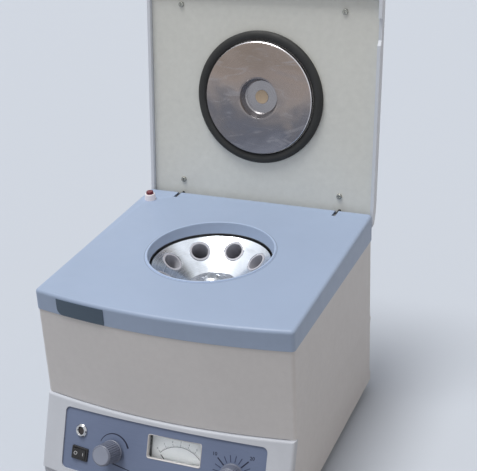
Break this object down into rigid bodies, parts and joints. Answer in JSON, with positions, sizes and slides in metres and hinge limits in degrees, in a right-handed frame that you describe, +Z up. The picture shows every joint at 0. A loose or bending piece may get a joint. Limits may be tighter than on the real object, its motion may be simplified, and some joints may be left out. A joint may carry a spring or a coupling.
{
  "type": "bench centrifuge",
  "caption": "Butterfat bench centrifuge with an open hinged lid, a conical angle rotor with sloping tube sockets, and a sloping console with knobs, rocker switch and needle meter.",
  "frame": {"origin": "On the bench under the middle of the whole machine with its lid open", "axes": "+Z up, the front and its console face -Y, +X to the right seen from the front"},
  "size_m": [0.3, 0.385, 0.4995],
  "materials": {
    "blue_grey_enamel": "satin blue-grey enamel with a fine orange-peel",
    "cream_enamel": "satin warm off-white enamel",
    "panel_print": "matte slate-blue printed overlay",
    "plate_dark": "anodised dark blank plate",
    "lid_sheet": "thin grey-cream painted sheet",
    "stainless": "spun stainless steel",
    "polished_steel": "polished",
    "cast_aluminium": "plain machined",
    "zinc_steel": "bright zinc plate",
    "black_steel": "black paint",
    "black_rubber": "matte",
    "knob_grey": "light grey moulding",
    "knob_cap_grey": "smooth grey cap",
    "black_plastic": "black moulding",
    "white_plastic": "white moulding",
    "red_plastic": "red moulding",
    "amber_plastic": "amber sight plug",
    "smoked_lens": "dark lens",
    "clear_window": "clear acrylic",
    "dial_white": "printed white card",
    "copper_iron": "laminated core and winding",
    "board_green": "circuit board"
  },
  "bodies": {
    "case": {"top_cover": "blue_grey_enamel", "body_shell": "cream_enamel", "rear_panel": "cream_enamel", "console_bezel": "cream_enamel", "control_panel": "panel_print", "nameplate": "plate_dark", "chamber_seal": "black_rubber", "guard_ring": "zinc_steel", "chamber_guard": "zinc_steel", "motor_can": "black_steel", "motor_end_caps": "cast_aluminium", "motor_bearings": "stainless", "motor_stator": "copper_iron", "motor_plate": "zinc_steel", "frame_posts": "cast_aluminium", "vibration_mounts": "black_rubber", "plate_bolts": "zinc_steel", "base_pan": "zinc_steel", "rubber_feet": "black_rubber", "case_screws": "zinc_steel", "transformer": "copper_iron", "speed_board": "board_green", "indicator_bezel": "polished_steel", "indicator_lens": "smoked_lens", "indicator_nut": "zinc_steel", "switch_body": "black_plastic", "speed_pot": "cast_aluminium", "timer_body": "black_plastic", "meter_case": "black_plastic", "meter_glass": "clear_window", "meter_dial": "dial_white", "meter_movement": "black_steel", "power_inlet": "black_plastic", "fuse_holder": "black_plastic", "hinge_brackets": "zinc_steel", "hinge_pins": "stainless", "interlock_housing": "white_plastic", "interlock_switch": "black_plastic"},
    "lid": {"lid_shell": "cream_enamel", "lid_panel": "lid_sheet", "lid_screws": "zinc_steel", "lid_gasket": "black_rubber", "lid_disc": "stainless", "sight_plug": "amber_plastic", "hinge_arms": "black_steel"},
    "rotor": {"rotor_head": "polished_steel", "tube_sleeves": "cast_aluminium", "motor_shaft": "zinc_steel", "hub_disc": "stainless", "rotor_nut": "polished_steel", "motor_armature": "copper_iron"},
    "speed_control": {"speed_knob": "knob_grey", "speed_knob_cap": "knob_cap_grey", "speed_spindle": "zinc_steel"},
    "timer_control": {"timer_knob": "knob_grey", "timer_knob_cap": "knob_cap_grey", "timer_spindle": "zinc_steel"},
    "rocker": {"power_rocker": "black_plastic"},
    "needle": {"meter_needle": "black_steel"},
    "interlock": {"interlock_plunger": "red_plastic"}
  },
  "joints": [
    {"name": "lid_hinge", "type": "hinge", "parent": "case", "child": "lid", "pos_m": [0, 0.13727, 0.23785], "axis": [1, 0, 0], "range_deg": [0, 98.72]},
    {"name": "rotor_spin", "type": "hinge", "parent": "case", "child": "rotor", "pos_m": [0, 0.00037, 0.15], "axis": [0, 0, 1], "continuous": true},
    {"name": "speed_turn", "type": "hinge", "parent": "case", "child": "speed_control", "pos_m": [-0.0544, -0.16446, 0.06408], "axis": [0.0646, 0.9316, -0.3576], "range_deg": [0, 270]},
    {"name": "timer_turn", "type": "hinge", "parent": "case", "child": "timer_control", "pos_m": [0.08524, -0.16171, 0.06409], "axis": [-0.1013, 0.9288, -0.3565], "range_deg": [0, 270]},
    {"name": "power_rock", "type": "hinge", "parent": "case", "child": "rocker", "pos_m": [-0.09781, -0.16525, 0.05102], "axis": [-0.0443, -0.3532, -0.9345], "range_deg": [0, 16]},
    {"name": "needle_swing", "type": "hinge", "parent": "case", "child": "needle", "pos_m": [0.02106, -0.17183, 0.04905], "axis": [-0.0247, 0.9333, -0.3583], "range_deg": [0, 90], "stiffness_Nm_per_rad": 0.0002},
    {"name": "interlock_press", "type": "slide", "parent": "case", "child": "interlock", "axis": [0, 0.0334, -0.9994], "range_m": [0, 0.0032]}
  ],
  "couplings": [
    {"joint": "interlock_press", "follows": "lid_hinge", "m_per_rad": 0.001857}
  ]
}
